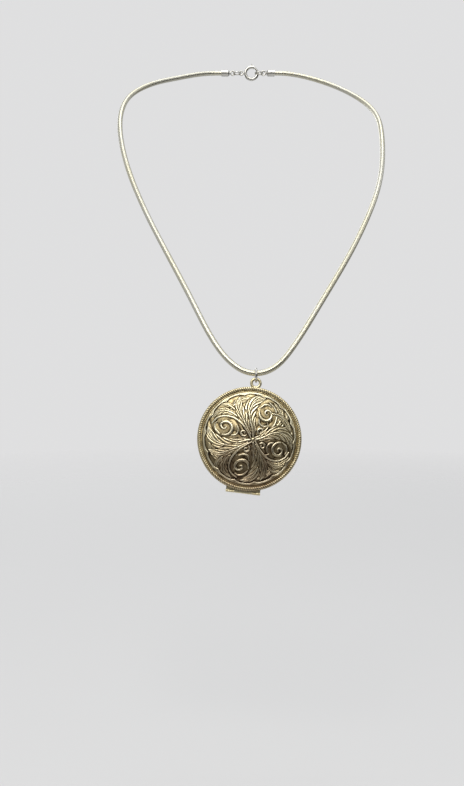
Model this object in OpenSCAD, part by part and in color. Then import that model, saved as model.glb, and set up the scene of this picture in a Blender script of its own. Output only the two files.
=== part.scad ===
// Round two-part locket on a snake chain. Sizes in mm, +Z up, +Y to the wearer's back,
// origin on the chain at the nape of the neck.

/* [Locket] */
// outside diameter of the closed locket
locket_diameter = 41; // [30:0.5:56]
// thickness of the stamped sheet
sheet = 0.5; // [0.3:0.05:0.8]
// height of the front rim wall up to the centre of its rope edge
front_rim = 1.5; // [1.3:0.1:2.6]
// height of the back rim wall up to the centre of its rounded edge
back_rim = 1.4; // [1.3:0.1:2.6]
// radius of the rope edge round the front
edge_bead = 0.8; // [0.5:0.05:1.2]
// radius of the rounded edge round the back
back_edge = 0.6; // [0.4:0.05:1]
// width of the groove inside the rope edge
edge_groove = 0.3; // [0.2:0.05:0.8]
// rise of the front dome over its foot
front_rise = 2.55; // [1:0.05:4.5]
// rise of the back dome over its foot
back_rise = 1.9; // [0.8:0.05:4]

/* [Pictures] */
// thickness of the liner pans
liner_sheet = 0.3; // [0.2:0.05:0.5]
// gap from the locket's edge to the outside of the picture bezel
bezel_inset = 2.8; // [2.4:0.1:5]
// thickness of the bezel wall
bezel_wall = 0.4; // [0.3:0.05:0.8]
// thickness of a picture card
card_thickness = 0.2; // [0.1:0.05:0.3]
// thickness of a clear window
window_thickness = 0.3; // [0.2:0.05:0.35]
// width of a picture ring
picture_ring_width = 1.35; // [0.8:0.05:2.5]
// split in each picture ring, in degrees
picture_ring_split = 8; // [4:1:20]

/* [Hinge] */
// length of the whole hinge barrel
hinge_length = 13.4; // [8:0.2:20]
// length of the middle knuckle
middle_knuckle = 6.4; // [3:0.2:10]
// outside radius of the knuckles
knuckle_radius = 0.5; // [0.4:0.05:0.9]
// radius of the hinge pin
pin_radius = 0.24; // [0.18:0.02:0.36]
// thickness of the strips that carry the knuckles
bearer_thickness = 0.45; // [0.3:0.05:0.5]

/* [Bail and jump ring] */
// outside radius of the bail eye
bail_radius = 2.35; // [1.8:0.05:3.4]
// radius of the hole in the bail eye
bail_hole = 1.17; // [1:0.01:1.6]
// thickness of the bail eye
bail_thickness = 1; // [0.6:0.1:1.2]
// height of the bail eye's centre over the locket's edge
bail_height = 1.9; // [1.5:0.05:2.6]
// wire radius of the jump ring
jump_wire = 0.45; // [0.3:0.05:0.6]
// mean radius of the jump ring
jump_radius = 2.65; // [2.6:0.05:4]
// split in the jump ring, in degrees
jump_split = 3; // [1:1:6]

/* [Chain] */
// radius of the snake chain
chain_radius = 1.2; // [0.8:0.05:1.4]
// lean of the hanging locket away from the chest line, in degrees
hang_lean = 12; // [0:1:25]
// sideways tilt of the hanging locket, in degrees
hang_tilt = 7; // [-20:1:20]

/* [Clasp] */
// outside radius of the end caps
cap_radius = 1.7; // [1.5:0.05:2.4]
// length of chain held inside each cap
cap_grip = 3.2; // [2:0.1:5]
// wire radius of the small rings and loops
small_wire = 0.35; // [0.25:0.05:0.45]
// mean radius of the loops on the end caps
cap_loop_radius = 1.15; // [1:0.05:1.6]
// mean radius of the ring between the left loop and the clasp
link_radius = 2; // [1.7:0.05:2.8]
// mean radius of the ring that the clasp hooks into
catch_radius = 2.1; // [2:0.05:3]
// mean radius of the spring ring clasp
clasp_radius = 3.2; // [2.8:0.05:4.5]
// outside radius of the clasp's tube
clasp_tube = 0.85; // [0.75:0.05:1]
// wall of the clasp's tube
clasp_wall = 0.25; // [0.2:0.05:0.3]
// mean radius of the clasp's own eye
clasp_eye_radius = 1.05; // [1:0.05:1.4]

/* [Hidden] */
$fn = 96;

// small gaps between pieces that move on each other
link_gap = 0.15;
wire_gap = 0.12;
pin_gap = 0.04;
bolt_gap = 0.08;
cap_gap = 0.03;
knuckle_gap = 0.1;
end_gap = 0.1;
half_gap = 0.05;
seat_gap = 0.05;

// radii of the locket's rings, from the outside in
edge_r = locket_diameter / 2;
wall_r = edge_r - sheet;
front_dome_r = edge_r - 2 * edge_bead - edge_groove;
back_dome_r = edge_r - back_edge;
bezel_out = edge_r - bezel_inset;
bezel_in = bezel_out - bezel_wall;
picture_r = bezel_in - seat_gap;
ring_in = picture_r - picture_ring_width;

// heights out from the plane where the halves meet
liner_top = 1.25;
liner_floor = liner_top - liner_sheet;
card_face = liner_floor - card_thickness;
window_face = card_face - window_thickness;
ring_face = 0.12;
bezel_face = 0.15;
groove_floor = front_rim + 0.25;
front_foot = front_rim + 0.45;
back_foot = back_rim + 0.5;

// collar that stands up from the back half into the front half
collar_in = wall_r - 0.75;
collar_out = wall_r - 0.3;
collar_reach = 0.6;
collar_foot = 0.35;
snap_bead = 0.15;
snap_height = 0.35;

// spheres that the two domes are cut from
function cap_sphere(foot, rise) = (foot * foot + rise * rise) / (2 * rise);
front_sphere = cap_sphere(front_dome_r, front_rise);
back_sphere = cap_sphere(back_dome_r, back_rise);

// hinge
hinge_z = -(edge_r + knuckle_radius + knuckle_gap);
middle_half = middle_knuckle / 2;
hinge_half = hinge_length / 2;
side_start = middle_half + end_gap;
pin_head = 0.15;

// how the bail, jump ring and chain hang in each other
bail_y = half_gap + 0.07 + bail_thickness / 2;
ring_drop = jump_radius - jump_wire - chain_radius - link_gap;
wire_drop = ring_drop + jump_radius;
eye_drop = bail_hole - jump_wire - link_gap;
centre_drop = eye_drop + bail_height + edge_r;

// guide points of the chain, from its left end round the front to its right end
route = [
    [-11, 0, 0], [-15, 0, 0], [-19, 0, 0], [-27, -3, -1.5], [-37.5, -8.5, -5.5], [-49.5, -15.5, -10],
    [-60, -24, -18], [-63, -36, -28.5], [-63, -46.5, -40], [-60.5, -55.5, -53],
    [-56.5, -63, -66], [-51, -70.5, -79], [-45, -78, -91.5], [-38.5, -85.5, -103.5],
    [-32, -93, -115.5], [-25.5, -101, -127.5], [-19.5, -108.5, -139.5], [-14, -113.5, -148.5],
    [-8.5, -117, -154.5], [-2.5, -118.5, -158], [4.5, -118.5, -158], [10.5, -117, -154.5],
    [15.5, -113.5, -148.5], [21.5, -108.5, -140], [28.5, -101.5, -129], [36, -94.5, -117.5],
    [43.5, -87, -105.5], [50, -79.5, -93.5], [56, -72, -81], [60.5, -64, -68],
    [62.5, -56, -55], [63.5, -46.5, -42.5], [63.5, -35, -32], [59, -23.5, -22],
    [48.5, -15, -13], [37.5, -8, -6.5], [27, -3, -2], [19, 0, 0], [15, 0, 0], [11, 0, 0]];
route_spans = len(route) - 1;
route_steps = 2;
chain_sides = 8;

// a smooth curve pulled along the guide points, which starts and ends on them
function guide(i) = i < 0 ? 2 * route[0] - route[1]
    : i > route_spans ? 2 * route[route_spans] - route[route_spans - 1] : route[i];
function blend_curve(a, b, c, d, f) = (pow(1 - f, 3) * a + (3 * f * f * f - 6 * f * f + 4) * b
    + (1 + 3 * f + 3 * f * f - 3 * f * f * f) * c + f * f * f * d) / 6;
function route_at(i, f) = blend_curve(guide(i - 1), guide(i), guide(i + 1), guide(i + 2), f);
route_line = [
    for (i = [0:route_spans - 1])
        for (s = [0:route_steps - 1])
            route_at(i, s / route_steps),
    route[route_spans]];
lowest_span = 19;
chain_low = route_at(lowest_span, 0.5);

// where the clasp's rings sit along X at the nape, from the left loop to the right loop
wire_pitch = 2 * small_wire + wire_gap;
tube_pitch = clasp_tube + small_wire + wire_gap;
eye_x = -(clasp_radius + clasp_tube + clasp_eye_radius + small_wire + end_gap / 2);
link_x = eye_x - clasp_eye_radius + wire_pitch - link_radius;
left_loop_x = link_x - link_radius + wire_pitch - cap_loop_radius;
catch_x = clasp_radius - tube_pitch + catch_radius;
right_loop_x = catch_x + catch_radius - wire_pitch + cap_loop_radius;
clasp_x = -(left_loop_x + right_loop_x) / 2;
loop_x = (right_loop_x - left_loop_x) / 2;
chain_end = -route[0][0];
cap_end = loop_x + cap_loop_radius + small_wire + end_gap;
cap_tip = 1;

// angles round the clasp's tube, from the side the catch ring sits on
mouth_start = 20;
mouth_end = 65;
bolt_tip = 15;
bolt_tail = 115;
lug_angle = 88;
slot_start = 82;
slot_end = 146;
spring_stop = 215;
stop_arc = 8;
lug_wire = 0.3;
lug_reach = 0.7;
slot_half = 0.4;
bolt_wire = clasp_tube - clasp_wall - bolt_gap;
spring_turns = 9;
spring_steps = 10;
spring_wire = 0.09;
spring_sides = 6;

// colours
pale_gold = [0.80, 0.70, 0.42];
liner_gold = [0.84, 0.74, 0.46];
silver_tone = [0.78, 0.77, 0.72];
chain_tone = [0.80, 0.76, 0.62];
clear_tone = [0.85, 0.90, 0.92, 0.35];
card_tone = [0.93, 0.90, 0.82];
steel_tone = [0.62, 0.62, 0.62];

// placing

module hang_ring() {
    translate(chain_low)
        rotate([-hang_lean, 0, 0])
            children();
}

module hang_locket() {
    hang_ring()
        translate([0, 0, -wire_drop])
            rotate([0, hang_tilt, 0])
                translate([0, -bail_y, -centre_drop])
                    children();
}

module front_half() {
    hang_locket()
        rotate([90, 0, 0])
            children();
}

module back_half() {
    hang_locket()
        rotate([-90, 0, 0])
            children();
}

module ring_solid(mean, wire) {
    rotate_extrude()
        translate([mean, 0])
            circle(r = wire);
}

module flat_band(inner, outer, low, high) {
    translate([inner, low])
        square([outer - inner, high - low]);
}

// a tube swept along a line of points; the frame keeps one side turned up
module swept_tube(line, wire, sides) {
    count = len(line);
    function ahead(i) = line[min(i + 1, count - 1)] - line[max(i - 1, 0)];
    function unit(v) = v / norm(v);
    function across(i) = unit(cross(ahead(i), [0.02, 0.3, 1]));
    function over(i) = unit(cross(across(i), ahead(i)));
    corners = [
        for (i = [0:count - 1])
            for (k = [0:sides - 1])
                line[i] + wire * (cos(360 * k / sides) * across(i) + sin(360 * k / sides) * over(i))];
    walls = [
        for (i = [0:count - 2])
            for (k = [0:sides - 1])
                [i * sides + k, (i + 1) * sides + k,
                 (i + 1) * sides + (k + 1) % sides, i * sides + (k + 1) % sides]];
    first = [for (k = [0:sides - 1]) k];
    last = [for (k = [sides - 1:-1:0]) (count - 1) * sides + k];
    polyhedron(points = corners, faces = concat(walls, [first], [last]), convexity = 8);
}

// locket halves

module dome_region(foot, base, rise, sphere, under, low) {
    intersection() {
        translate([0, base + rise - sphere])
            circle(r = sphere - under, $fn = 360);
        translate([0, low])
            square([foot, rise + base]);
    }
}

module front_shell() {
    color(pale_gold)
        front_half()
            rotate_extrude($fn = 180)
                difference() {
                    union() {
                        flat_band(0, edge_r, half_gap, front_rim);
                        flat_band(0, edge_r - edge_bead, half_gap, groove_floor);
                        translate([edge_r - edge_bead, front_rim])
                            circle(r = edge_bead);
                        dome_region(front_dome_r, front_foot, front_rise, front_sphere, 0, 1);
                    }
                    flat_band(-1, wall_r, -1, liner_top);
                    translate([-1, 0])
                        square([1, 10]);
                    dome_region(front_dome_r - sheet, front_foot, front_rise, front_sphere, sheet, 1);
                }
}

module back_shell() {
    color(pale_gold)
        back_half()
            rotate_extrude($fn = 180)
                difference() {
                    union() {
                        flat_band(0, edge_r, half_gap, back_rim);
                        flat_band(0, edge_r - back_edge, half_gap, back_foot);
                        translate([edge_r - back_edge, back_rim])
                            circle(r = back_edge);
                        dome_region(back_dome_r, back_foot, back_rise, back_sphere, 0, 1);
                    }
                    flat_band(-1, wall_r, -1, liner_top);
                    translate([-1, 0])
                        square([1, 10]);
                    dome_region(back_dome_r - 2 * sheet, back_foot, back_rise, back_sphere, sheet, 1);
                }
}

module liner_pan() {
    rotate_extrude($fn = 180)
        union() {
            flat_band(0, wall_r, liner_floor, liner_top);
            flat_band(bezel_in, bezel_out, bezel_face, liner_top);
        }
}

module front_liner() {
    color(liner_gold)
        front_half()
            liner_pan();
}

module back_liner() {
    color(liner_gold)
        back_half()
            liner_pan();
}

module snap_collar() {
    color(liner_gold)
        back_half()
            rotate_extrude($fn = 180)
                union() {
                    flat_band(collar_in, collar_out, -collar_reach, liner_floor);
                    flat_band(collar_in, wall_r, collar_foot, liner_floor);
                    translate([collar_out, -snap_height])
                        circle(r = snap_bead);
                }
}

module round_card(low, high) {
    translate([0, 0, low])
        cylinder(r = picture_r, h = high - low);
}

module front_photo_card() {
    color(card_tone)
        front_half()
            round_card(card_face, liner_floor);
}

module back_photo_card() {
    color(card_tone)
        back_half()
            round_card(card_face, liner_floor);
}

module front_window() {
    color(clear_tone)
        front_half()
            round_card(window_face, card_face);
}

module back_window() {
    color(clear_tone)
        back_half()
            round_card(window_face, card_face);
}

module split_ring() {
    rotate([0, 0, 90 + picture_ring_split / 2])
        rotate_extrude(angle = 360 - picture_ring_split, $fn = 180)
            flat_band(ring_in, picture_r, ring_face, window_face);
}

module front_photo_ring() {
    color(liner_gold)
        front_half()
            split_ring();
}

module back_photo_ring() {
    color(liner_gold)
        back_half()
            split_ring();
}

// hinge

module barrel(from, to, radius) {
    translate([from, 0, hinge_z])
        rotate([0, 90, 0])
            cylinder(r = radius, h = to - from);
}

module knuckle(from, to, bore) {
    difference() {
        barrel(from, to, knuckle_radius);
        barrel(from - 1, to + 1, bore);
    }
}

module rim_solid() {
    rotate([90, 0, 0])
        translate([0, 0, -5])
            cylinder(r = edge_r, h = 10, $fn = 180);
}

module bearer_strip(half, front, back) {
    translate([-half, front, hinge_z])
        cube([2 * half, back - front, knuckle_radius * 5]);
}

module lid_bearer() {
    color(pale_gold)
        hang_locket()
            difference() {
                bearer_strip(middle_half, -half_gap - bearer_thickness, -half_gap);
                rim_solid();
                barrel(-hinge_half, hinge_half, knuckle_radius);
            }
}

module case_bearer() {
    color(pale_gold)
        hang_locket()
            difference() {
                bearer_strip(hinge_half, half_gap, half_gap + bearer_thickness);
                rim_solid();
                barrel(-hinge_half - 1, hinge_half + 1, knuckle_radius);
                barrel(-side_start, side_start, knuckle_radius + knuckle_gap);
            }
}

module lid_knuckle() {
    color(pale_gold)
        hang_locket()
            knuckle(-middle_half, middle_half, pin_radius + pin_gap);
}

module case_knuckle_left() {
    color(pale_gold)
        hang_locket()
            knuckle(-hinge_half, -side_start, pin_radius);
}

module case_knuckle_right() {
    color(pale_gold)
        hang_locket()
            knuckle(side_start, hinge_half, pin_radius);
}

module hinge_pin() {
    color(steel_tone)
        hang_locket()
            barrel(-hinge_half - pin_head, hinge_half + pin_head, pin_radius);
}

// bail and jump ring

module bail_eye() {
    color(pale_gold)
        hang_locket()
            difference() {
                translate([0, bail_y, edge_r + bail_height])
                    rotate([90, 0, 0])
                        difference() {
                            cylinder(r = bail_radius, h = bail_thickness, center = true);
                            cylinder(r = bail_hole, h = bail_thickness + 1, center = true);
                        }
                rim_solid();
            }
}

module jump_ring() {
    color(silver_tone)
        hang_ring()
            translate([0, 0, -ring_drop])
                rotate([0, 90, 0])
                    rotate([0, 0, 150])
                        rotate_extrude(angle = 360 - jump_split)
                            translate([jump_radius, 0])
                                circle(r = jump_wire, $fn = 48);
}

// chain and clasp

module chain() {
    color(chain_tone)
        swept_tube(route_line, chain_radius, chain_sides);
}

module cap_body(side) {
    rotate([0, 90 * side, 0])
        difference() {
            union() {
                translate([0, 0, chain_end - 0.3])
                    cylinder(r = cap_radius, h = cap_grip + 0.3);
                translate([0, 0, cap_end])
                    cylinder(r1 = cap_tip, r2 = cap_radius, h = chain_end - 0.3 - cap_end);
            }
            translate([0, 0, chain_end])
                cylinder(r = chain_radius + cap_gap, h = cap_grip + 1);
        }
}

module cap_loop(side) {
    union() {
        translate([side * loop_x, 0, 0])
            rotate([90, 0, 0])
                ring_solid(cap_loop_radius, small_wire);
        rotate([0, 90 * side, 0])
            translate([0, 0, loop_x + cap_loop_radius])
                cylinder(r = small_wire, h = small_wire + end_gap);
    }
}

module end_cap_left() {
    color(silver_tone)
        cap_body(-1);
}

module end_cap_right() {
    color(silver_tone)
        cap_body(1);
}

module cap_loop_left() {
    color(silver_tone)
        cap_loop(-1);
}

module cap_loop_right() {
    color(silver_tone)
        cap_loop(1);
}

module link_ring() {
    color(silver_tone)
        translate([clasp_x + link_x, 0, 0])
            ring_solid(link_radius, small_wire);
}

module catch_ring() {
    color(silver_tone)
        translate([clasp_x + catch_x, 0, 0])
            ring_solid(catch_radius, small_wire);
}

module on_clasp(turn) {
    translate([clasp_x, 0, 0])
        rotate([90, 0, 0])
            rotate([0, 0, turn])
                children();
}

module tube_arc(start, end, radius) {
    on_clasp(start)
        rotate_extrude(angle = end - start)
            translate([clasp_radius, 0])
                circle(r = radius, $fn = 48);
}

module clasp_ring() {
    color(silver_tone)
        union() {
            difference() {
                tube_arc(mouth_end, mouth_start + 360, clasp_tube);
                tube_arc(mouth_end - 5, mouth_start + 365, clasp_tube - clasp_wall);
                on_clasp(slot_start)
                    rotate_extrude(angle = slot_end - slot_start)
                        flat_band(clasp_radius, clasp_radius + 2 * clasp_tube, -slot_half, slot_half);
            }
            tube_arc(spring_stop, spring_stop + stop_arc, clasp_tube - clasp_wall);
        }
}

module clasp_eye() {
    color(silver_tone)
        difference() {
            union() {
                translate([clasp_x + eye_x, 0, 0])
                    rotate([90, 0, 0])
                        ring_solid(clasp_eye_radius, small_wire);
                translate([clasp_x + eye_x + clasp_eye_radius, 0, 0])
                    rotate([0, 90, 0])
                        cylinder(r = small_wire, h = clasp_tube + small_wire);
            }
            on_clasp(0)
                ring_solid(clasp_radius, clasp_tube);
        }
}

module clasp_bolt() {
    color(silver_tone)
        union() {
            tube_arc(bolt_tip, bolt_tail, bolt_wire);
            on_clasp(lug_angle)
                translate([clasp_radius, 0, 0])
                    rotate([0, 90, 0])
                        cylinder(r = lug_wire, h = clasp_tube + lug_reach, $fn = 32);
        }
}

// a fine coil wound along the clasp's tube, from the bolt's tail to the stop
module clasp_spring() {
    coil = (clasp_tube - clasp_wall) * 0.66;
    rings = spring_turns * spring_steps;
    margin = 3;
    function turn_at(i) = bolt_tail + margin + (spring_stop - bolt_tail - 2 * margin) * i / rings;
    function out_at(i) = clasp_radius + coil * cos(360 * i / spring_steps);
    line = [
        for (i = [0:rings])
            [clasp_x + out_at(i) * cos(turn_at(i)), coil * sin(360 * i / spring_steps),
             out_at(i) * sin(turn_at(i))]];
    color(steel_tone)
        swept_tube(line, spring_wire, spring_sides);
}

front_shell();
front_liner();
front_window();
front_photo_card();
front_photo_ring();
lid_bearer();
lid_knuckle();
back_shell();
back_liner();
snap_collar();
back_window();
back_photo_card();
back_photo_ring();
case_bearer();
case_knuckle_left();
case_knuckle_right();
hinge_pin();
bail_eye();
jump_ring();
chain();
end_cap_left();
end_cap_right();
cap_loop_left();
cap_loop_right();
link_ring();
catch_ring();
clasp_ring();
clasp_eye();
clasp_bolt();
clasp_spring();
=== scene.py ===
import math

import bpy
import numpy as np
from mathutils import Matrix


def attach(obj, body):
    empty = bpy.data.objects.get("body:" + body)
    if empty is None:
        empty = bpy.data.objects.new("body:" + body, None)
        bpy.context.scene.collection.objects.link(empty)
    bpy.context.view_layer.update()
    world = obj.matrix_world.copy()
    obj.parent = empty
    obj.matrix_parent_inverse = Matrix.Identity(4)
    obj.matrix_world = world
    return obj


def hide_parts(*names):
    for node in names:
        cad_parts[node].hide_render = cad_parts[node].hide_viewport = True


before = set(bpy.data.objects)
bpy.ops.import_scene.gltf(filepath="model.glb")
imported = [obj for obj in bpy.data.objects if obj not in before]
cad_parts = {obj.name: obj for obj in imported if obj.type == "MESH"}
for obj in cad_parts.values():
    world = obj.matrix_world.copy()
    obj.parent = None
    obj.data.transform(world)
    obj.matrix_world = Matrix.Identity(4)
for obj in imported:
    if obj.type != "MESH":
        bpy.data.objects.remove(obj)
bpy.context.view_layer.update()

# where the locket hangs, as the solids do, in metres and radians
hang = {
    "low": (0.001, -0.1184375, -0.15785417),    # the chain's lowest point, inside the jump ring
    "lean": math.radians(12),
    "tilt": math.radians(7),
    "wireDrop": 0.0035,                         # from there to the ring's wire in the bail
    "centreDrop": 0.02297,                      # from that wire to the locket's centre
    "bailBack": 0.00062,                        # how far the bail lies behind the parting plane
}


# rotation and origin of the locket: lean about X at the chain, then tilt about the ring's wire
def hangFrame():
    a, b = -hang["lean"], hang["tilt"]
    lean = np.array([[1, 0, 0], [0, math.cos(a), -math.sin(a)], [0, math.sin(a), math.cos(a)]])
    tilt = np.array([[math.cos(b), 0, math.sin(b)], [0, 1, 0], [-math.sin(b), 0, math.cos(b)]])
    wire = np.array(hang["low"]) + lean @ np.array([0, 0, -hang["wireDrop"]])
    turn = lean @ tilt
    return turn, wire + turn @ np.array([0, -hang["bailBack"], -hang["centreDrop"]])


hangTurn, hangCentre = hangFrame()


# locket points (across, out of the front, up) in metres, put where the locket hangs
def toLocket(points):
    local = np.stack([points[..., 0], -points[..., 1], points[..., 2]], axis=-1)
    return local @ hangTurn.T + hangCentre


# a mesh from whole arrays; values is one number for each vertex, kept as the attribute
# toneAndShade, which sets worn and tarnished tone and painted shade
def meshObject(name, vertices, quads, values=None, triangles=None, smooth=True):
    mesh = bpy.data.meshes.new(name)
    quads = np.asarray(quads, dtype=np.int32).reshape(-1, 4)
    triangles = np.zeros((0, 3)) if triangles is None else triangles
    triangles = np.asarray(triangles, dtype=np.int32)
    corners = np.concatenate([quads.ravel(), triangles.ravel()])
    starts = np.concatenate([np.arange(len(quads)) * 4, quads.size + np.arange(len(triangles)) * 3])
    mesh.vertices.add(len(vertices))
    mesh.vertices.foreach_set("co", np.asarray(vertices, dtype=np.float32).ravel())
    mesh.loops.add(len(corners))
    mesh.loops.foreach_set("vertex_index", corners)
    mesh.polygons.add(len(starts))
    mesh.polygons.foreach_set("loop_start", starts.astype(np.int32))
    mesh.polygons.foreach_set("use_smooth", np.full(len(starts), smooth))
    mesh.update(calc_edges=True)
    if values is not None:
        layer = mesh.attributes.new("toneAndShade", "FLOAT", "POINT")
        layer.data.foreach_set("value", np.asarray(values, dtype=np.float32).ravel())
    mesh.validate()
    obj = bpy.data.objects.new(name, mesh)
    bpy.context.collection.objects.link(obj)
    return obj


# quads of a surface that closes on itself both ways
def loopQuads(rings, around):
    i, j = np.meshgrid(np.arange(rings), np.arange(around), indexing="ij")
    a, b = (i * around + j), (i * around + (j + 1) % around)
    c, d = ((i + 1) % rings) * around + (j + 1) % around, ((i + 1) % rings) * around + j
    return np.stack([a, b, c, d], axis=-1).reshape(-1, 4)


# quads of a tube that closes only around
def tubeQuads(rings, around):
    i, j = np.meshgrid(np.arange(rings - 1), np.arange(around), indexing="ij")
    a, b = (i * around + j), (i * around + (j + 1) % around)
    return np.stack([a, b, b + around, a + around], axis=-1).reshape(-1, 4)


camera = {
    "place": (-0.0086, -0.438, -0.149),
    "down": 3.0,                    # degrees below level
    "sensor": 36,                   # millimetres
    "lens": 62.069,
    "clip": (0.01, 50),
}


def makeCamera():
    data = bpy.data.cameras.new("camera")
    data.sensor_fit = "HORIZONTAL"
    data.sensor_width = camera["sensor"]
    data.lens = camera["lens"]
    data.clip_start, data.clip_end = camera["clip"]
    obj = bpy.data.objects.new("camera", data)
    obj.location = camera["place"]
    obj.rotation_euler = (math.radians(90 - camera["down"]), 0, 0)
    bpy.context.collection.objects.link(obj)
    bpy.context.scene.camera = obj


makeCamera()
print("camera")

# points that the snake chain's centreline leans on, from the left cap round to the right one
chainRoute = np.array([
    (-.011, 0, 0), (-.015, 0, 0), (-.019, 0, 0), (-.027, -.003, -.0015), (-.0375, -.0085, -.0055),
    (-.0495, -.0155, -.01), (-.06, -.024, -.018), (-.063, -.036, -.0285), (-.063, -.0465, -.04),
    (-.0605, -.0555, -.053), (-.0565, -.063, -.066), (-.051, -.0705, -.079),
    (-.045, -.078, -.0915), (-.0385, -.0855, -.1035), (-.032, -.093, -.1155),
    (-.0255, -.101, -.1275), (-.0195, -.1085, -.1395), (-.014, -.1135, -.1485),
    (-.0085, -.117, -.1545), (-.0025, -.1185, -.158), (.0045, -.1185, -.158),
    (.0105, -.117, -.1545), (.0155, -.1135, -.1485), (.0215, -.1085, -.14), (.0285, -.1015, -.129),
    (.036, -.0945, -.1175), (.0435, -.087, -.1055), (.05, -.0795, -.0935), (.056, -.072, -.081),
    (.0605, -.064, -.068), (.0625, -.056, -.055), (.0635, -.0465, -.0425), (.0635, -.035, -.032),
    (.059, -.0235, -.022), (.0485, -.015, -.013), (.0375, -.008, -.0065), (.027, -.003, -.002),
    (.019, 0, 0), (.015, 0, 0), (.011, 0, 0)])

chainLook = {
    "radius": 0.00121,      # to the crests of the links
    "pitch": 0.00072,       # from one link to the next
    "depth": 0.00012,       # how deep the grooves between links are
    "slant": 0.5,           # how far, in links, the zigzag runs
    "lobes": 4,             # zigzags round the chain
    "roundness": 0.6,       # under 1 the links are full with narrow grooves, at 1 they are even
    "perLink": 5,           # rings of the mesh for each link
    "around": 24,
    "perSpan": 24,          # points on the smooth line for each span of the route
    "cordStep": 8,          # every how many rings the cord's path has a point
    "upward": (0.02, 0.3, 1.0),     # a direction that the chain never runs along
}


# uniform cubic B-spline: a mean of four neighbours whose weights are cubics of the place in the
# span; each end is mirrored, so that the line starts and ends on its end points
def splineLine(points, perSpan):
    first, last = 2 * points[0] - points[1], 2 * points[-1] - points[-2]
    p = np.vstack([first, points, last, last])
    spans = len(points) - 1
    t = np.linspace(0, spans, spans * perSpan + 1)
    i = np.minimum(t.astype(int), spans - 1)
    f = (t - i)[:, None]
    return ((1 - f) ** 3 * p[i] + (3 * f ** 3 - 6 * f ** 2 + 4) * p[i + 1]
            + (1 + 3 * f + 3 * f ** 2 - 3 * f ** 3) * p[i + 2] + f ** 3 * p[i + 3]) / 6


# the same line with count points at even spacing, and its length
def evenLine(points, count):
    step = np.linalg.norm(np.diff(points, axis=0), axis=1)
    run = np.concatenate([[0], np.cumsum(step)])
    want = np.linspace(0, run[-1], count)
    return np.stack([np.interp(want, run, points[:, k]) for k in range(3)], axis=1), run[-1]


# two directions square to the line at each point: ahead x upward, and that x ahead
def lineFrame(points):
    ahead = np.gradient(points, axis=0)
    ahead /= np.linalg.norm(ahead, axis=1)[:, None]
    across = np.cross(ahead, chainLook["upward"])
    across /= np.linalg.norm(across, axis=1)[:, None]
    return across, np.cross(across, ahead)


# tube along the route whose radius dips between links, and the dips zigzag round the tube:
# radius - depth * (1 - |sin(pi * (s / pitch + slant * zigzag(angle)))| ** roundness)
def makeChain():
    look = chainLook
    rough = splineLine(chainRoute, look["perSpan"])
    length = evenLine(rough, 2)[1]
    links = int(round(length / look["pitch"]))
    rings = links * look["perLink"] + 1
    centres, length = evenLine(rough, rings)
    across, over = lineFrame(centres)
    angle = np.arange(look["around"]) * 2 * math.pi / look["around"]
    zigzag = np.abs(((angle * look["lobes"] / (2 * math.pi)) % 1) * 2 - 1)
    phase = np.linspace(0, links, rings)[:, None] + look["slant"] * zigzag[None, :]
    crest = np.abs(np.sin(math.pi * phase)) ** look["roundness"]
    radius = look["radius"] - look["depth"] * (1 - crest)
    outward = (np.cos(angle)[None, :, None] * across[:, None, :]
               + np.sin(angle)[None, :, None] * over[:, None, :])
    spots = centres[:, None, :] + radius[..., None] * outward
    vertices = np.vstack([spots.reshape(-1, 3), centres[:1], centres[-1:]])
    # the crests of the links, which set the painted shade in the grooves between them; the end caps
    # stay clean
    toneAndShade = np.concatenate([crest.ravel(), [1, 1]])
    around = look["around"]
    # each end is closed by a fan round its own middle point
    k, middle = np.arange(around), rings * around
    after, last = (k + 1) % around, (rings - 1) * around
    fans = np.vstack([np.stack([k, after, np.full(around, middle)], axis=1),
                      np.stack([last + after, last + k, np.full(around, middle + 1)], axis=1)])
    obj = meshObject("snake_chain", vertices, tubeQuads(rings, around)[:, ::-1], toneAndShade, fans)
    return obj, centres[::look["cordStep"]], length


chain, chainPath, chainLength = makeChain()
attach(chain, "chain")
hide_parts("chain")
print("chain", round(chainLength, 4))

# the front half: its sizes in metres, and the places on it in radii of the locket
locket = {
    "radius": 0.0205,
    "domeFoot": 0.0186,     # radius of the dome where it meets the groove
    "footHeight": 0.00195,  # over the parting plane
    "rise": 0.00255,        # of the dome over its foot
    "sheet": 0.0005,        # thickness of the metal
    "relief": 0.00034,      # height of the boldest ridges over the sunk ground
    "middle": 0.38,         # the height of the relief, from 0 to 1, that lies on the dome
    "hub": (0.07, -0.03),   # how far the pattern's middle is off the locket's
    "hubReach": 0.85,       # how far out the pattern follows it
    "arms": (0, 97, 190, 279),
    "grid": 300,            # cells across the relief
}
border = {
    "scallops": 14,
    "inside": 0.855,        # where the scallops begin, and how far their cusps reach in
    "cusp": 0.030,
    "outside": 0.897,       # where they end and the groove begins
    "slope": 0.010,         # width of the band's sloping sides
    "lip": 0.014,           # half the width of the lip, and how far it lies from the inner edge
    "lipAt": 0.012,
    "groove": 0.00012,      # depth of the groove in metres
    "grooveEdge": 0.008,    # width of its sloping side
    "grooveTone": 0.56,     # how clean the groove is, from 0 black to 1 bright
    "end": 0.914,           # where the relief ends and the rope edge begins
}
# tone of the relief: rubbed-clean metal where a spot stands out, tarnish and painted shade where it
# lies below what is round it or near the ground
rubbingAndShade = {
    "cells": 4,             # how far round itself each spot is compared with
    "level": 0.50,          # tone of a spot as high as what is round it
    "standing": 1.5,        # gain in tone with height over what is round it
    "raised": 0.15,         # and with height over the ground
    "inside": 0.6,          # tone of the plain inner side
}


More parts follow.
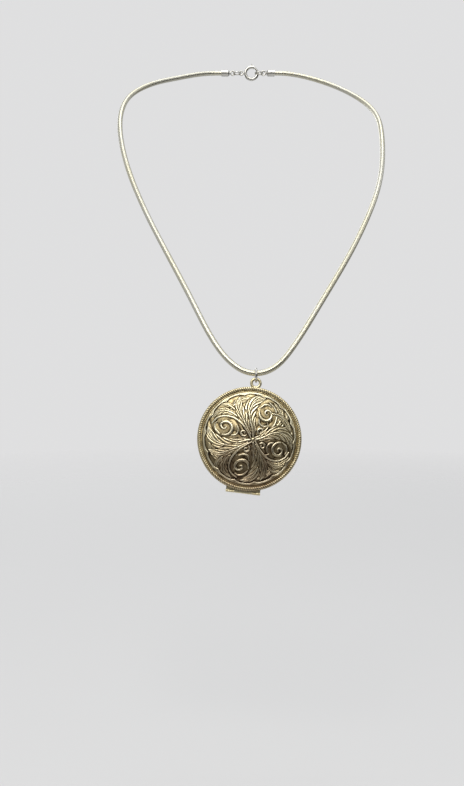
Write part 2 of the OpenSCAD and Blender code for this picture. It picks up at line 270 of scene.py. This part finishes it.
# Catmull-Rom curve through flat points: in each span a cubic that leaves every point in the
# direction from the point before it to the one after it
def throughPoints(points, perSpan=6):
    p = np.asarray(points, float)
    p = np.vstack([2 * p[0] - p[1], p, 2 * p[-1] - p[-2]])
    spans = len(p) - 3
    t = np.linspace(0, spans, spans * perSpan + 1)
    i = np.minimum(t.astype(int), spans - 1)
    f = (t - i)[:, None]
    a, b, c, d = p[i], p[i + 1], p[i + 2], p[i + 3]
    return 0.5 * (2 * b + (c - a) * f + (2 * a - 5 * b + 4 * c - d) * f ** 2
                  + (3 * b - a - 3 * c + d) * f ** 3)


# curve that winds in: radius = outer + (inner - outer) * t ** 0.85; start is in degrees
def spiral(centre, outer, inner, start, turns, count=40):
    t = np.linspace(0, 1, count)
    angle = math.radians(start) + turns * 2 * math.pi * t
    radius = outer + (inner - outer) * t ** 0.85
    across, up = centre[0] + radius * np.cos(angle), centre[1] + radius * np.sin(angle)
    return np.stack([across, up], axis=1)


# for the points within reach of a line: which they are, their distance from it, how far along it
# they are from 0 to 1, and on which side
def nearLine(points, line, reach):
    low, high = line.min(axis=0) - reach, line.max(axis=0) + reach
    inside = np.nonzero(np.all((points >= low) & (points <= high), axis=1))[0]
    if not len(inside):
        return inside, np.zeros(0), np.zeros(0), np.zeros(0)
    a, b = line[:-1], line[1:]
    ab = b - a
    size = np.linalg.norm(ab, axis=1)
    run = np.concatenate([[0], np.cumsum(size)])
    ap = points[inside][:, None, :] - a[None]
    t = np.clip(np.einsum("nmk,mk->nm", ap, ab) / (size ** 2)[None], 0, 1)
    gap = np.linalg.norm(ap - t[..., None] * ab[None], axis=2)
    best = gap.argmin(axis=1)
    row = np.arange(len(inside))
    along = (run[best] + t[row, best] * size[best]) / run[-1]
    side = ab[best, 0] * ap[row, best, 1] - ab[best, 1] * ap[row, best, 0]
    return inside, gap[row, best], along, side      # side is over 0 on the line's left


# a rounded ridge: lift * sqrt(1 - (distance / width) ** 2); it swells over its first third to the
# full width and narrows towards its end, and it presses down what lies under it
def addStroke(height, points, line, width, lift, taper=0.5, root=0.35):
    inside, gap, along = nearLine(points, line, width)[:3]
    wide = width * (root + (1 - root) * np.clip(along / 0.3, 0, 1)) * (1 - taper * along ** 2)
    ridge = np.sqrt(np.clip(1 - (gap / wide) ** 2, 0, None))
    under = height[inside]
    height[inside] = np.where(ridge > 0, np.maximum(lift * ridge, 0.6 * under), under)


# a broad leaf along its midrib: width swells and narrows to a tip; long grooves where
# veins * along - slant * out ** 0.8 is whole sweep forwards to the edge, which dips at each groove
def addLeaf(height, points, line, left, right, veins, slant, lift):
    inside, gap, along, side = nearLine(points, line, max(left, right))
    swell = np.where(along < 0.45, np.clip(along / 0.45, 0, 1) ** 0.6,
                     np.clip(1 - ((along - 0.45) / 0.55) ** 2, 0, 1) ** 0.7)
    out = gap / (np.where(side > 0, left, right) * swell + 1e-6)
    sweep = veins * along - slant * out ** 0.8 + np.where(side > 0, 0.5, 0)
    rib = np.abs(np.sin(math.pi * sweep)) ** 0.6
    edge = 0.76 + 0.24 * rib
    body = lift * (0.25 + 0.75 * rib) * np.clip((edge - out) / 0.2, 0, 1) ** 0.5
    under = height[inside]
    sunk = np.where(out < edge + 0.12, 0.5 * under, under)      # the ground just outside the leaf
    leaf = np.where(out < edge, np.maximum(body, 0.25), sunk)
    thin = 1 - 0.6 * along
    midrib = 1.2 * lift * np.sqrt(np.clip(1 - (gap / (0.020 * thin)) ** 2, 0, None))
    beside = (gap < 0.030 * thin) & (midrib <= 0) & (along < 0.8)
    height[inside] = np.where(beside, 0.55 * leaf, np.maximum(leaf, midrib))


# what one arm of the pattern holds, in radii from the hub, the arm pointing up
leafSet = [
    # midrib, width to its left and right, veins, slant, lift
    ([(-.46, .44), (-.42, .56), (-.32, .67), (-.18, .75), (-.04, .78)], .05, .075, 5, 2.4, .62),
    ([(.40, .24), (.50, .36), (.54, .50), (.50, .62), (.40, .72)], .075, .06, 5, 2.2, .66),
    ([(.56, .30), (.64, .40), (.66, .50), (.62, .58)], .045, .045, 3, 1.8, .60),
    ([(.10, .05), (.26, .12), (.42, .18), (.58, .23), (.70, .22), (.80, .17)],
     .085, .115, 5, 2.3, .80),
    ([(.00, .06), (-.03, .20), (-.09, .36), (-.10, .52), (-.04, .66), (.08, .76), (.22, .79)],
     .125, .135, 5, 2.4, .86)]
stemSet = [
    # line, width, lift, taper, width of the root
    ([(.03, .04), (.15, .10), (.30, .20), (.41, .34), (.44, .50), (.40, .63), (.30, .72)],
     .020, 1.0, .3, .6),
    ([(.10, .60), (.18, .67), (.27, .68), (.33, .64)], .020, .8, .6, .4),
    ([(.31, .38), (.35, .47), (.35, .56)], .016, .7, .6, .4),
    ([(.08, .40), (.10, .31), (.18, .27), (.27, .29)], .020, .8, .6, .4),
    ([(-.10, .14), (-.15, .24), (-.22, .31), (-.31, .30)], .018, .75, .6, .5)]
scrollSet = [
    # centre, outer and inner radius, start, turns, then width, lift, taper, width of the root
    ((.235, .505), .155, .078, 160, .80, .033, .95, .6, .3),
    ((.240, .515), .062, .022, 60, .62, .020, .85, .5, .4),
    ((.135, .175), .070, .022, 225, -.90, .022, .95, .4, .5)]


# height from 0 to about 1 of the scrolling leaves at flat points in radii: fine flowing lines for
# ground, then one arm drawn at each of the arm angles; the middle is slid to the hub, less so
# towards the edge
def reliefHeight(points):
    away = np.linalg.norm(points, axis=1)
    share = np.clip(1 - (away / locket["hubReach"])[:, None] ** 2, 0, 1)
    moved = points - np.array(locket["hub"]) * share
    turn, far = np.arctan2(moved[:, 1], moved[:, 0]), np.linalg.norm(moved, axis=1)
    flow = 8 * turn + 7 * np.sin(4.1 * far + 1) + 1.6 * np.sin(4 * turn + 9 * far) + 26 * far
    height = 0.36 * np.abs(np.sin(flow)) ** 0.7 * np.clip(far / 0.2, 0, 1)
    for arm in locket["arms"]:
        c, s = math.cos(math.radians(arm)), math.sin(math.radians(arm))
        p = np.stack([c * moved[:, 0] + s * moved[:, 1], c * moved[:, 1] - s * moved[:, 0]], axis=1)
        for midrib, left, right, veins, slant, lift in leafSet:
            addLeaf(height, p, throughPoints(midrib), left, right, veins, slant, lift)
        for line, width, lift, taper, root in stemSet:
            addStroke(height, p, throughPoints(line), width, lift, taper, root)
        for centre, outer, inner, start, turns, width, lift, taper, root in scrollSet:
            curl = spiral(centre, outer, inner, start, turns)
            addStroke(height, p, curl, width, lift, taper, root)
    boss = 0.8 * np.sqrt(np.clip(1 - (far / 0.04) ** 2, 0, None))
    return np.maximum(height, boss)


# the scalloped ring between the leaves and the groove: a flat band with a round lip along its
# inner edge, which runs in to a cusp at each scallop's end
def borderHeight(points):
    away = np.linalg.norm(points, axis=1)
    turn = np.arctan2(points[:, 1], points[:, 0]) / (2 * math.pi) * border["scallops"]
    off = np.abs(turn - np.round(turn))
    inner = border["inside"] - border["cusp"] * np.clip(1 - off / 0.26, 0, 1) ** 1.4
    slope = border["slope"]
    band = (np.clip((away - inner) / slope, 0, 1)
            * np.clip((border["outside"] - away) / slope, 0, 1))
    lip = np.sqrt(np.clip(1 - ((away - inner - border["lipAt"]) / border["lip"]) ** 2, 0, None))
    beads = 0.5 + 0.5 * np.abs(np.sin(turn * math.pi * 3))
    return np.maximum(band * 0.55 * (0.75 + 0.25 * beads), lip * 0.85), inner


# mean of the cells within size of each cell, taken twice
def smear(field, size):
    for axis in (0, 1, 0, 1):
        total = np.cumsum(field, axis=axis)
        last = np.minimum(np.arange(field.shape[axis]) + size, field.shape[axis] - 1)
        first = np.maximum(np.arange(field.shape[axis]) - size - 1, 0)
        field = ((np.take(total, last, axis) - np.take(total, first, axis))
                 / np.expand_dims(last - first, 1 - axis))
    return field


# points over the unit disc with even spacing: rings of a square grid pushed out to circles
def discGrid(count):
    u = np.linspace(-1, 1, count + 1)
    x, y = np.meshgrid(u, u, indexing="ij")
    far = np.maximum(np.abs(x), np.abs(y))
    near = np.where(far > 0, np.minimum(np.abs(x), np.abs(y)) / np.maximum(far, 1e-9), 0)
    angle = near * math.pi / 4
    wide = np.abs(x) >= np.abs(y)
    px = np.where(wide, np.cos(angle), np.sin(angle)) * far * np.sign(x)
    py = np.where(wide, np.sin(angle), np.cos(angle)) * far * np.sign(y)
    return px, py


# height of a spherical cap: top - ball + sqrt(ball ** 2 - away ** 2), where the ball's radius is
# (foot ** 2 + rise ** 2) / (2 * rise)
def domeHeight(away):
    foot, rise = locket["domeFoot"], locket["rise"]
    ball = (foot ** 2 + rise ** 2) / (2 * rise)
    return locket["footHeight"] + rise - ball + np.sqrt(np.clip(ball ** 2 - away ** 2, 0, None))


# a closed lens: the relief on top, a short wall at its rim, and a plain inner dome in rings below
def makeRelief():
    count, big = locket["grid"], locket["radius"]
    px, py = discGrid(count)
    flat = np.stack([px.ravel(), py.ravel()], axis=1) * border["end"]
    away = np.linalg.norm(flat, axis=1)
    leaves = reliefHeight(flat)
    scallops, inner = borderHeight(flat)
    leaves *= np.clip((inner - away - 0.004) / 0.02, 0, 1) ** 0.5       # down to the border's foot
    height = np.maximum(leaves, scallops)
    groove = np.clip((away - border["outside"]) / border["grooveEdge"], 0, 1)
    top = (domeHeight(away * big) + locket["relief"] * (height - locket["middle"])
           - groove * border["groove"])
    side = count + 1
    # what stands out from the mean round it is rubbed clean, what lies below it is tarnished and
    # darkened with painted shade, most in the narrow crevices beside the ridges
    local = smear(height.reshape(side, side), rubbingAndShade["cells"]).ravel()
    toneAndShade = np.clip(rubbingAndShade["level"] + rubbingAndShade["standing"] * (height - local)
                   + rubbingAndShade["raised"] * (height - 0.4), 0, 1)
    toneAndShade = np.where(groove > 0, border["grooveTone"] - 0.06, toneAndShade)
    spots = np.stack([flat[:, 0] * big, top, flat[:, 1] * big], axis=1)
    i, j = np.meshgrid(np.arange(count), np.arange(count), indexing="ij")
    a = (i * side + j).ravel()
    quads = np.stack([a, a + side, a + side + 1, a + 1], axis=1)
    # once round the edge of the grid, then the same angles in smaller rings underneath
    k = np.arange(count)
    edge = np.concatenate([k, k * side + count, side * count + count - k, (count - k) * side])
    share = np.array([1, 0.8, 0.55, 0.3, 0.08])     # of the edge's radius, ring by ring
    ring = flat[edge][None] * share[:, None, None]
    thick = locket["sheet"] + 0.0001
    depth = domeHeight(np.linalg.norm(ring, axis=2) * big) - thick
    under = np.stack([ring[..., 0] * big, depth, ring[..., 1] * big], axis=-1).reshape(-1, 3)
    around, base = len(edge), len(spots)
    below = base + np.arange(around)
    wall = np.stack([edge, np.roll(edge, -1), np.roll(below, -1), below], axis=1)
    rings = tubeQuads(len(share), around) + base
    last = base + (len(share) - 1) * around + np.arange(around)
    hub = np.full(around, base + len(under))
    cap = np.stack([last, np.roll(last, -1), hub], axis=1)
    middle = np.array([[0, domeHeight(0) - thick, 0]])
    vertices = np.vstack([spots, under, middle])
    toneAndShade = np.concatenate([toneAndShade, np.full(len(under) + 1, rubbingAndShade["inside"])])
    return meshObject("locket_front_relief", toLocket(vertices),
                      np.vstack([quads, wall, rings]), toneAndShade, cap)


relief = makeRelief()
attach(relief, "lid")
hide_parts("front_shell")
print("front relief")

rope = {
    "bead": 0.0008,         # radius of the rope edge
    "drawn": 0.00076,       # the same without its ridges
    "rim": 0.0015,          # height of its centre over the parting plane
    "ridges": 150,
    "perRidge": 8,          # columns of the mesh for each ridge
    "depth": 0.00012,
    "slant": 0.75,          # how far, in ridges, each one leans from outside to inside
    "inGroove": 0.07,       # tone between the ridges, tarnish with painted shade, and how much brighter they are
    "onRidge": 0.70,
    "plain": 0.5,           # tone of the wall below the rope
}


# cross-section of the rim, as (distance from the axis, height, how much rope shows, across the
# rope from -1 outside to 1 inside, whether it is the ledge beside the relief)
def ropeProfile():
    big, bead, rim = locket["radius"], rope["bead"], rope["rim"]
    wallIn, wallOut = big - locket["sheet"], big - 0.00002
    ledge, under = big - 2 * bead - 0.0006, 0.00125
    # across the foot of the wall from inside to outside, and up the wall
    rows = [(wallIn, 0.00005, 0, 0, 0), (wallIn + 0.0001, 0.00003, 0, 0, 0),
            (big - 0.0001, 0.00003, 0, 0, 0), (wallOut, 0.0001, 0, 0, 0),
            (wallOut, 0.0006, 0, 0, 0), (wallOut, 0.0010, 0, -1, 0)]
    for k in range(19):     # over the bead, from 18 degrees below level to 198
        turn = math.radians(-18 + k * 12)
        rows.append((big - bead + rope["drawn"] * math.cos(turn),
                     rim + rope["drawn"] * math.sin(turn), min(1, 0.25 + 0.25 * k), k / 9 - 1, 0))
    # in along the ledge, and back below it and down the inside of the wall
    rows += [(big - 2 * bead - 0.0001, rim + 0.0002, 0, 1, 1), (ledge, rim + 0.00022, 0, 1, 1),
             (ledge, under, 0, 0, 1), (wallIn - 0.0004, under, 0, 0, 0),
             (wallIn - 0.00005, 0.0012, 0, 0, 0), (wallIn, 0.0011, 0, 0, 0)]
    return np.array(rows)


# profile carried round the rim; the bead swells in slanting ridges like a twisted cord, by
# depth * (|sin(pi * (ridges * turn + slant * across))| ** 0.7 - 0.75)
def makeRopeEdge():
    rows = ropeProfile()
    around = rope["ridges"] * rope["perRidge"]
    turn = np.arange(around) * 2 * math.pi / around
    shows, over, ledge = rows[None, :, 2], rows[None, :, 3], rows[None, :, 4]
    phase = turn[:, None] / (2 * math.pi) * rope["ridges"] + over * rope["slant"]
    ridge = np.abs(np.sin(math.pi * phase)) ** 0.7
    swell = shows * (ridge - 0.75) * rope["depth"]
    middle = np.array([locket["radius"] - rope["bead"], rope["rim"]])
    out = rows[:, :2] - middle
    out /= np.linalg.norm(out, axis=1)[:, None]
    across = rows[None, :, 0] + swell * out[None, :, 0]
    up = rows[None, :, 1] + swell * out[None, :, 1]
    spots = np.stack([across * np.cos(turn)[:, None], up, across * np.sin(turn)[:, None]], axis=-1)
    # tarnish and painted shade between the ridges, clean metal on them
    toneAndShade = np.where(shows > 0, rope["inGroove"] + rope["onRidge"] * ridge, rope["plain"])
    toneAndShade = np.where(ledge > 0, border["grooveTone"], toneAndShade)
    quads = loopQuads(around, len(rows))
    return meshObject("locket_rope_edge", toLocket(spots.reshape(-1, 3)), quads[:, ::-1], toneAndShade)


ropeEdge = makeRopeEdge()
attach(ropeEdge, "lid")
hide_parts("front_shell")
print("rope edge")

# the flat ring soldered to the rim, with its edges worn round
bail = {
    "height": 0.0224,       # of its centre over the locket's
    "radius": 0.00176,      # to the middle of its metal
    "halfWidth": 0.00059,
    "halfThick": 0.0005,
    "square": 0.75,         # 1 gives a round section, 0 a square one
    "rings": 72,
    "around": 24,
}


# a ring whose cross-section is a rounded square: halfWidth * cos ** square one way, and
# halfThick * sin ** square the other
def makeBail():
    rings, around = bail["rings"], bail["around"]
    turn = np.arange(rings)[:, None] * 2 * math.pi / rings
    lap = np.arange(around)[None, :] * 2 * math.pi / around
    c, s = np.cos(lap), np.sin(lap)
    width = bail["radius"] + bail["halfWidth"] * np.sign(c) * np.abs(c) ** bail["square"]
    thick = bail["halfThick"] * np.sign(s) * np.abs(s) ** bail["square"] + 0 * turn
    spots = np.stack([width * np.cos(turn), thick - hang["bailBack"],
                      bail["height"] + width * np.sin(turn)], axis=-1)
    quads = loopQuads(rings, around)[:, ::-1]
    return meshObject("bail_ring", toLocket(spots.reshape(-1, 3)), quads)


bailRing = makeBail()
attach(bailRing, "case")
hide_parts("bail_eye")
print("bail ring")

# the blank cards and the clear discs over them, a hair apart so that they never lie in one plane
pictures = {
    "radius": 0.01725,
    "cardBack": 0.00095,    # heights out of the parting plane
    "cardFace": 0.00075,
    "discFace": 0.00045,
    "air": 0.00002,
    "edge": 0.00004,        # of the slant round the edge
    "around": 96,
}


# a round disc between two heights out of the parting plane, its edges cut at a slant; sense is 1
# in the front half and -1 in the back half
def makeDisc(name, low, high, sense):
    r, cut, around = pictures["radius"] - 2 * pictures["air"], pictures["edge"], pictures["around"]
    rows = np.array([(r * 0.5, low), (r - cut, low), (r, low + cut),
                     (r, high - cut), (r - cut, high), (r * 0.5, high)])
    turn = np.arange(around)[None, :] * 2 * math.pi / around
    across, out = rows[:, :1], rows[:, 1:] + 0 * turn
    spots = np.stack([across * np.cos(turn), sense * out, across * np.sin(turn)], axis=-1)
    spots = spots.reshape(-1, 3)
    middles = np.array([(0, sense * low, 0), (0, sense * high, 0)])
    k, last = np.arange(around), (len(rows) - 1) * around
    after = (k + 1) % around
    fans = np.vstack([np.stack([k, after, np.full(around, len(spots))], axis=1),
                      np.stack([last + after, last + k, np.full(around, len(spots) + 1)], axis=1)])
    quads = tubeQuads(len(rows), around)[:, ::-1]
    if sense > 0:
        quads, fans = quads[:, ::-1], fans[:, ::-1]
    return meshObject(name, toLocket(np.vstack([spots, middles])), quads, None, fans)


cards, discs = [], []
for side, sense, body in (("front", 1, "lid"), ("back", -1, "case")):
    card = makeDisc(side + "_blank_card", pictures["cardFace"] + pictures["air"],
                    pictures["cardBack"] - pictures["air"], sense)
    disc = makeDisc(side + "_clear_disc", pictures["discFace"] + pictures["air"],
                    pictures["cardFace"] - pictures["air"], sense)
    for piece, node, slot in ((card, side + "_photo_card", "card"),
                              (disc, side + "_window", "window")):
        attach(piece, body)
        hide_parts(node)
    cards.append(card)
    discs.append(disc)
print("cards and clear discs")


# adds nodes to a material and links them; where a value is asked for it may be a socket or a
# number; span maps low..high to toLow..toHigh and stops at both ends
class Graph:
    def __init__(self, name):
        self.material = bpy.data.materials.new(name)
        self.material.use_nodes = True
        self.tree = self.material.node_tree
        self.shader = next(n for n in self.tree.nodes if n.type == "BSDF_PRINCIPLED")

    def add(self, kind, **settings):
        node = self.tree.nodes.new(kind)
        for key, value in settings.items():
            setattr(node, key, value)
        return node

    def put(self, socket, value):
        if isinstance(value, bpy.types.NodeSocket):
            self.tree.links.new(value, socket)
        else:
            socket.default_value = value

    def place(self):
        return self.add("ShaderNodeTexCoord").outputs["Object"]

    def noise(self, scale, detail=4.0, rough=0.55, stretch=None):
        where = self.place()
        if stretch:
            mapping = self.add("ShaderNodeMapping")
            self.put(mapping.inputs["Vector"], where)
            mapping.inputs["Scale"].default_value = stretch
            where = mapping.outputs["Vector"]
        node = self.add("ShaderNodeTexNoise")
        self.put(node.inputs["Vector"], where)
        node.inputs["Scale"].default_value = scale
        node.inputs["Detail"].default_value = detail
        node.inputs["Roughness"].default_value = rough
        return node.outputs[0]

    def ramp(self, value, stops):
        node = self.add("ShaderNodeValToRGB")
        self.put(node.inputs[0], value)
        ramp = node.color_ramp
        while len(ramp.elements) < len(stops):
            ramp.elements.new(0.5)
        for element, (spot, colour) in zip(ramp.elements, stops):
            element.position = spot
            element.color = (*colour, 1)
        return node.outputs[0]

    def math(self, kind, a, b, clamp=False):
        node = self.add("ShaderNodeMath", operation=kind, use_clamp=clamp)
        self.put(node.inputs[0], a)
        self.put(node.inputs[1], b)
        return node.outputs[0]

    def mix(self, share, a, b):
        node = self.add("ShaderNodeMix", data_type="RGBA")
        self.put(node.inputs[0], share)
        for socket, value in ((node.inputs[6], a), (node.inputs[7], b)):
            self.put(socket, value if isinstance(value, bpy.types.NodeSocket) else (*value, 1))
        return node.outputs[2]

    def span(self, value, low, high, toLow, toHigh):
        node = self.add("ShaderNodeMapRange")
        self.put(node.inputs[0], value)
        for k, number in enumerate((low, high, toLow, toHigh)):
            node.inputs[k + 1].default_value = number
        return node.outputs[0]

    def bump(self, value, strength, distance):
        node = self.add("ShaderNodeBump")
        node.inputs["Strength"].default_value = strength
        node.inputs["Distance"].default_value = distance
        self.put(node.inputs["Height"], value)
        self.put(self.shader.inputs["Normal"], node.outputs[0])

    def finish(self, colour, rough, metallic=1.0):
        linked = isinstance(colour, bpy.types.NodeSocket)
        self.put(self.shader.inputs["Base Color"], colour if linked else (*colour, 1))
        self.put(self.shader.inputs["Roughness"], rough)
        self.shader.inputs["Metallic"].default_value = metallic
        return self.material


# tones from the deepest hollow, tarnished and in painted shade, to the top of the ridges, pale
# where the metal is clean, and darker and rosier in the round patch of painted shade low on the
# front
antiqueTones = {
    "pale": [(0.0, (0.020, 0.014, 0.007)), (0.22, (0.10, 0.073, 0.034)),
             (0.45, (0.44, 0.355, 0.19)), (0.72, (0.79, 0.69, 0.43)), (1.0, (0.95, 0.89, 0.66))],
    "rosyShade": [(0.0, (0.014, 0.007, 0.004)), (0.22, (0.055, 0.030, 0.018)),
             (0.45, (0.17, 0.105, 0.062)), (0.72, (0.40, 0.285, 0.18)), (1.0, (0.74, 0.60, 0.42))],
    "patch": (0.0012, 0.004, -0.0102),      # centre on the locket of the patch of painted shade
    "full": 0.006,                          # metres from there to where it begins to fade
    "gone": 0.0195,
}


# gold by the toneAndShade attribute: clean on the ridges, brown tarnish and painted shade in the
# hollows, and painted shade in a rosier tone low on the front
def antiqueGold():
    g = Graph("antique_gold")
    toneAndShade = g.add("ShaderNodeAttribute", attribute_name="toneAndShade").outputs["Fac"]
    mottle = g.noise(420, 5, 0.6)
    wornAndShaded = g.math("ADD", toneAndShade, g.span(mottle, 0.3, 0.7, -0.12, 0.12), True)
    pale, rosyShade = g.ramp(wornAndShaded, antiqueTones["pale"]), g.ramp(wornAndShaded, antiqueTones["rosyShade"])
    # painted shade low on the front: the darker, rosier ramp takes over near the patch's centre and
    # fades out with distance, broken up by noise
    away = g.add("ShaderNodeVectorMath", operation="DISTANCE")
    g.put(away.inputs[0], g.place())
    away.inputs[1].default_value = toLocket(np.array(antiqueTones["patch"]))
    low = g.span(away.outputs["Value"], antiqueTones["full"], antiqueTones["gone"], 1.0, 0)
    patch = g.math("MULTIPLY", low, g.span(g.noise(150, 3, 0.5), 0.35, 0.6, 0.45, 1.0))
    rough = g.math("ADD", g.span(wornAndShaded, 0, 1, 0.46, 0.21),
                   g.span(g.noise(900, 3), 0.3, 0.7, -0.04, 0.06))
    g.bump(g.noise(2600, 4, 0.6), 0.12, 0.0004)
    return g.finish(g.mix(patch, pale, rosyShade), rough)


# plain metal between two tones, with faint rubbing: rough is its mean roughness, and grain how
# strong the bump of the rubbing is
def plainMetal(name, colour, dark, rough, grain):
    g = Graph(name)
    patch = g.noise(160, 5, 0.6)
    tone = g.mix(g.span(patch, 0.35, 0.7, 0, 1), colour, dark)
    scratch = g.noise(700, 3, 0.6, stretch=(1, 1, 9))
    roughness = g.math("ADD", g.span(scratch, 0.3, 0.7, rough - 0.06, rough + 0.08),
                       g.span(patch, 0.3, 0.7, -0.03, 0.05))
    g.bump(scratch, grain, 0.0002)
    return g.finish(tone, roughness)


# groove is the painted shade between the links
chainTones = {"pale": (0.85, 0.83, 0.72), "warm": (0.83, 0.79, 0.61), "groove": (0.12, 0.105, 0.07)}
cardTones = {"dull": (0.80, 0.76, 0.66), "clean": (0.86, 0.83, 0.75), "rough": 0.85}
windowLook = {"tint": (0.96, 0.96, 0.95), "bend": 1.47, "cover": 0.14}     # cover is its alpha


# pale plating with painted shade in the grooves between links, by the toneAndShade attribute
def chainMetal():
    g = Graph("chain_plating")
    toneAndShade = g.add("ShaderNodeAttribute", attribute_name="toneAndShade").outputs["Fac"]
    drift = g.noise(35, 3, 0.5)
    bright = g.mix(g.span(drift, 0.35, 0.65, 0, 1), chainTones["pale"], chainTones["warm"])
    tone = g.mix(g.span(toneAndShade, 0.1, 0.8, 0, 1), chainTones["groove"], bright)
    return g.finish(tone, g.span(g.noise(1500, 3), 0.3, 0.7, 0.20, 0.34))


# off-white card with a fine fibre
def cardPaper():
    g = Graph("blank_card")
    fibre = g.noise(1400, 6, 0.7)
    tone = g.mix(g.span(fibre, 0.3, 0.7, 0, 1), cardTones["dull"], cardTones["clean"])
    g.bump(fibre, 0.25, 0.0002)
    return g.finish(tone, cardTones["rough"], 0.0)


# thin clear plastic, mostly see-through
def clearWindow():
    g = Graph("clear_window")
    g.shader.inputs["IOR"].default_value = windowLook["bend"]
    g.shader.inputs["Alpha"].default_value = windowLook["cover"]
    return g.finish(windowLook["tint"], g.span(g.noise(300, 3), 0.3, 0.7, 0.04, 0.10), 0.0)


# the pieces may be CAD nodes, by name, or objects made here
def giveMaterial(material, pieces):
    for piece in pieces:
        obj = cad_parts.get(piece) if isinstance(piece, str) else piece
        obj.data.materials.clear()
        obj.data.materials.append(material)


plainMetals = [
    # name, tone, second tone, roughness, grain, pieces
    ("back_gold", (0.80, 0.71, 0.44), (0.66, 0.55, 0.31), 0.27, 0.05, ["back_shell"]),
    ("fitting_gold", (0.86, 0.78, 0.52), (0.68, 0.58, 0.34), 0.26, 0.05,
     ["lid_bearer", "lid_knuckle", "case_bearer", "case_knuckle_left", "case_knuckle_right",
      bailRing]),
    ("liner_gold", (0.84, 0.73, 0.43), (0.76, 0.64, 0.36), 0.32, 0.04,
     ["front_liner", "back_liner", "snap_collar", "front_photo_ring", "back_photo_ring"]),
    ("silver_wire", (0.80, 0.79, 0.74), (0.62, 0.60, 0.54), 0.20, 0.08,
     ["jump_ring", "end_cap_left", "end_cap_right", "cap_loop_left", "cap_loop_right",
      "link_ring", "catch_ring", "clasp_ring", "clasp_eye", "clasp_bolt"]),
    ("steel_wire", (0.55, 0.54, 0.52), (0.42, 0.41, 0.40), 0.30, 0.1,
     ["hinge_pin", "clasp_spring"])]

giveMaterial(antiqueGold(), [relief, ropeEdge])
for name, tone, second, rough, grain, pieces in plainMetals:
    giveMaterial(plainMetal(name, tone, second, rough, grain), pieces)
giveMaterial(chainMetal(), [chain])
giveMaterial(cardPaper(), cards)
giveMaterial(clearWindow(), discs)
print("materials")

studio = {
    "floor": -0.34,                     # its height
    "floorReach": 4.0,
    "fadeFrom": 0.1,                    # how far out it starts to fade into the backdrop
    "fadeTo": 1.2,
    "paper": (0.76, 0.757, 0.75),
    "backdrop": (0.74, 0.74, 0.745),
    "overhead": (0.55, 0.56, 0.58),     # what the metal sees above
    "front": (0.012, 0.011, 0.010),     # and low in front, where the room is dark
    "skyward": (-0.25, 0.45, 0.85),     # the way from the one to the other
    "skyFrom": -0.60,
    "skyTo": 0.50,
    "lights": [
        # name, place, width, height, brightness, colour
        ("window", (-0.12, -0.90, 0.60), 0.75, 0.45, 4.25, (1, 0.98, 0.94)),
        ("fill", (0.95, -0.45, 0.45), 0.30, 0.6, 1.2, (0.97, 0.98, 1)),
        ("overhead", (0.0, -0.05, 0.95), 0.8, 0.7, 1.8, (1, 1, 1)),
        ("behind", (-0.4, 1.0, 0.35), 0.6, 0.6, 1.5, (1, 1, 1))],
}


# a wide flat floor of matt paper whose alpha runs from 1 to 0 with distance from the middle
def makeFloor():
    r, z = studio["floorReach"], studio["floor"]
    corners = np.array([(-r, -r, z), (r, -r, z), (r, r, z), (-r, r, z)])
    obj = meshObject("floor", corners, [(0, 1, 2, 3)], smooth=False)
    g = Graph("floor_paper")
    g.finish(studio["paper"], g.span(g.noise(3, 3), 0.3, 0.7, 0.75, 0.9), 0.0)
    far = g.add("ShaderNodeVectorMath", operation="LENGTH")
    g.put(far.inputs[0], g.place())
    solid = g.span(far.outputs["Value"], studio["fadeFrom"], studio["fadeTo"], 1, 0)
    g.put(g.shader.inputs["Alpha"], solid)
    obj.data.materials.append(g.material)
    return obj


# brightness is what the lamp's face shows: power = brightness * pi * area; it faces the locket
def makeLight(name, place, wide, tall, brightness, colour):
    data = bpy.data.lights.new(name, "AREA")
    data.shape = "RECTANGLE"
    data.size, data.size_y = wide, tall
    data.energy = brightness * math.pi * wide * tall
    data.color = colour
    obj = bpy.data.objects.new(name, data)
    obj.location = place
    obj.visible_camera = False
    x, y, z = np.array(hangCentre) - np.array(place)
    obj.rotation_euler = (math.atan2(math.hypot(x, y), -z), 0, math.atan2(-x, y))
    bpy.context.collection.objects.link(obj)


# plain to look at; in reflections it runs from dark low in front to pale overhead, by how far
# each direction points skyward
def makeSky():
    world = bpy.data.worlds.new("sky")
    bpy.context.scene.world = world
    world.use_nodes = True
    nodes, links = world.node_tree.nodes, world.node_tree.links
    where = nodes.new("ShaderNodeTexCoord").outputs["Generated"]
    slope = nodes.new("ShaderNodeVectorMath")
    slope.operation = "DOT_PRODUCT"
    slope.inputs[1].default_value = studio["skyward"]
    links.new(where, slope.inputs[0])
    share = nodes.new("ShaderNodeMapRange")
    share.interpolation_type = "SMOOTHSTEP"
    for k, number in enumerate((studio["skyFrom"], studio["skyTo"], 0, 1)):
        share.inputs[k + 1].default_value = number
    links.new(slope.outputs["Value"], share.inputs[0])
    room = nodes.new("ShaderNodeMix")
    room.data_type = "RGBA"
    room.inputs[6].default_value = (*studio["front"], 1)
    room.inputs[7].default_value = (*studio["overhead"], 1)
    links.new(share.outputs[0], room.inputs[0])
    seen = nodes.new("ShaderNodeMix")
    seen.data_type = "RGBA"
    links.new(nodes.new("ShaderNodeLightPath").outputs["Is Camera Ray"], seen.inputs[0])
    links.new(room.outputs[2], seen.inputs[6])
    seen.inputs[7].default_value = (*studio["backdrop"], 1)
    links.new(seen.outputs[2], nodes["Background"].inputs["Color"])


floor = makeFloor()
makeSky()
for light in studio["lights"]:
    makeLight(*light)
bpy.context.scene.view_settings.view_transform = "Standard"
print("studio")
